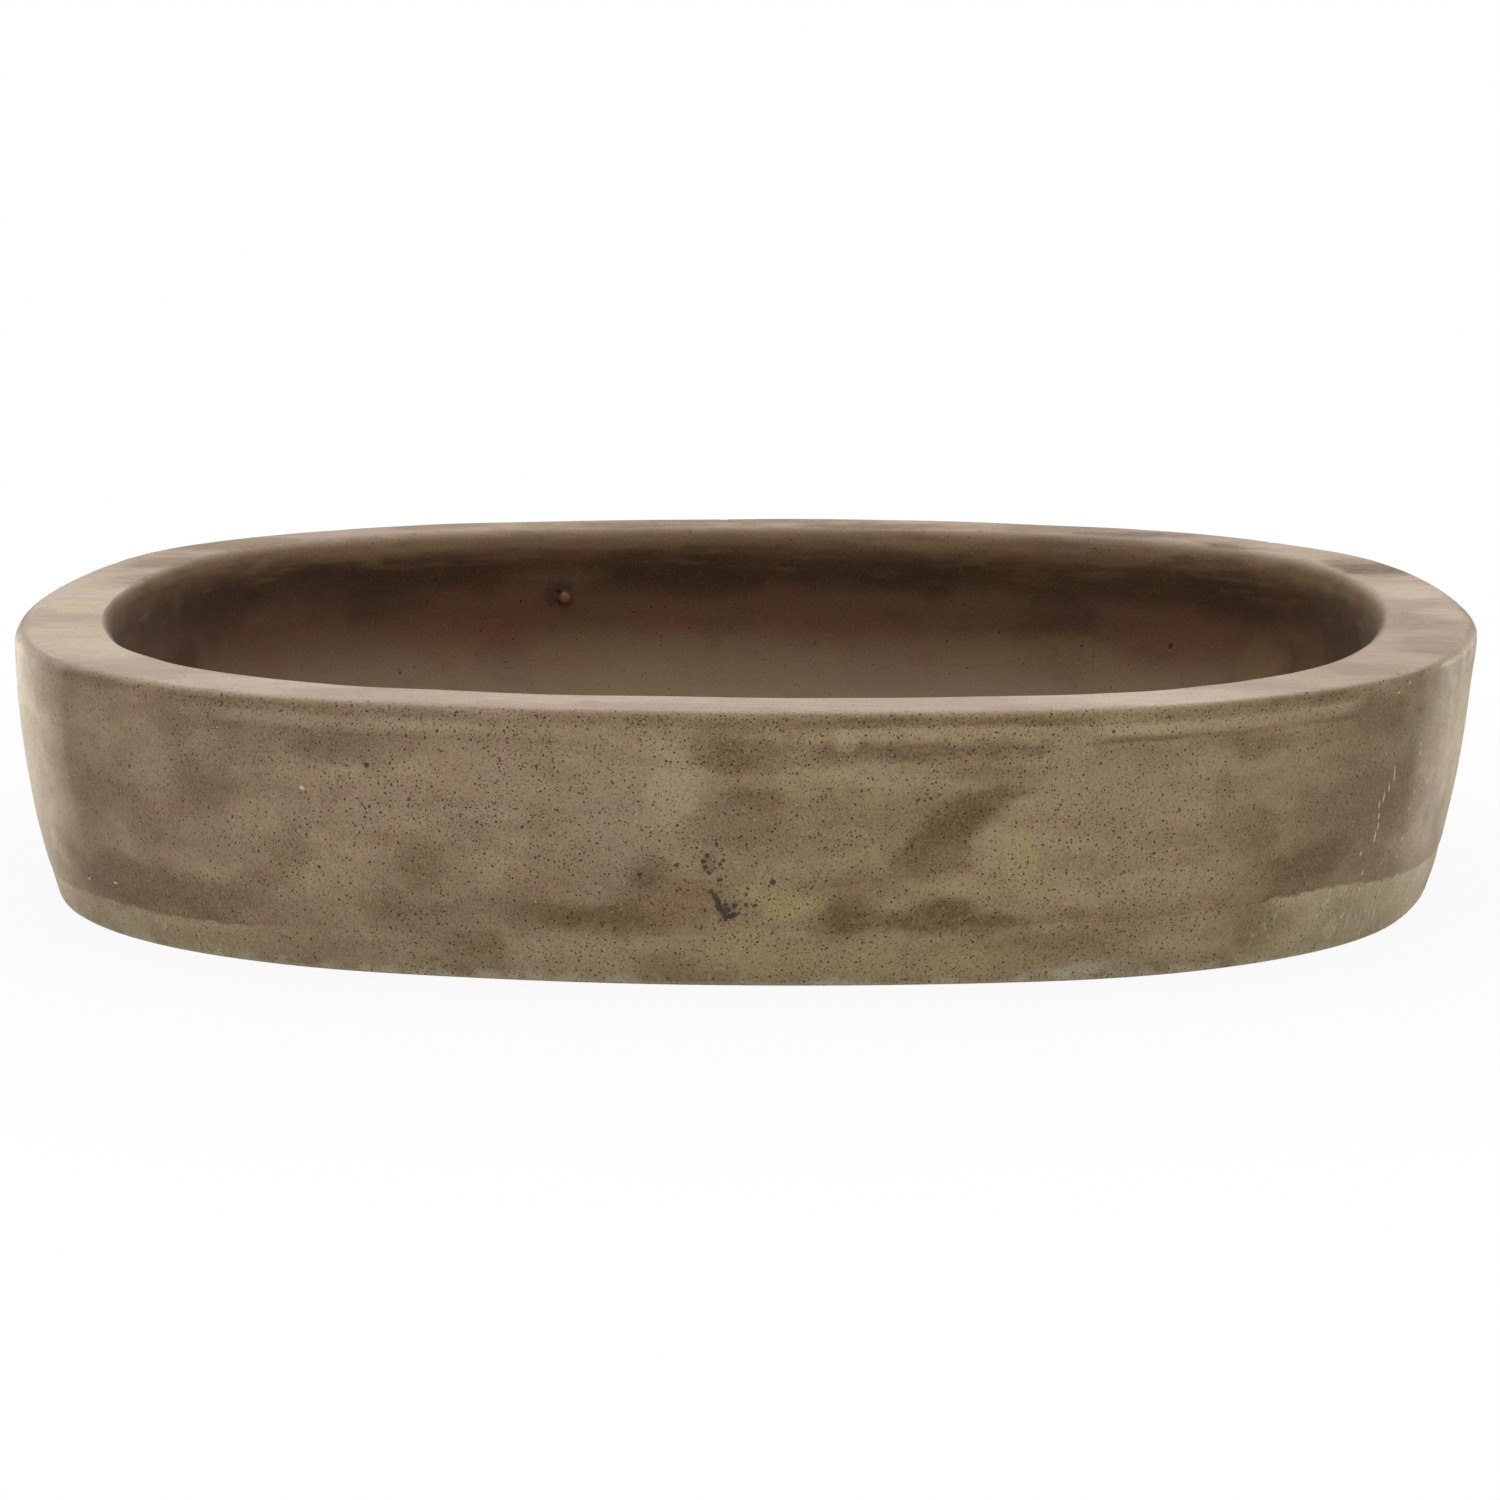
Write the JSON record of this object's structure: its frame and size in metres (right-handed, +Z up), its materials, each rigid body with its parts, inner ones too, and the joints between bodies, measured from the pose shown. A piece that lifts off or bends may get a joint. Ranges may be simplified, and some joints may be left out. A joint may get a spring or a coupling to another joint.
{
  "type": "concrete bowl planter",
  "caption": "Low, nearly square cast concrete planter bowl with round corners, a thick flat rim, walls that bow in to the base and a central drain hole.",
  "frame": {"origin": "middle of the underside, on the ground", "axes": "+Z up out of the bowl; the four bowed sides face along +X, -X, +Y and -Y; the pictured side faces -Y"},
  "size_m": [0.61, 0.61, 0.109],
  "materials": {
    "concrete": "matt cast concrete, brown-grey, mottled, with fine pinholes and sand flecks"
  },
  "bodies": {
    "root": {"bowl_casting": "concrete"}
  },
  "joints": []
}
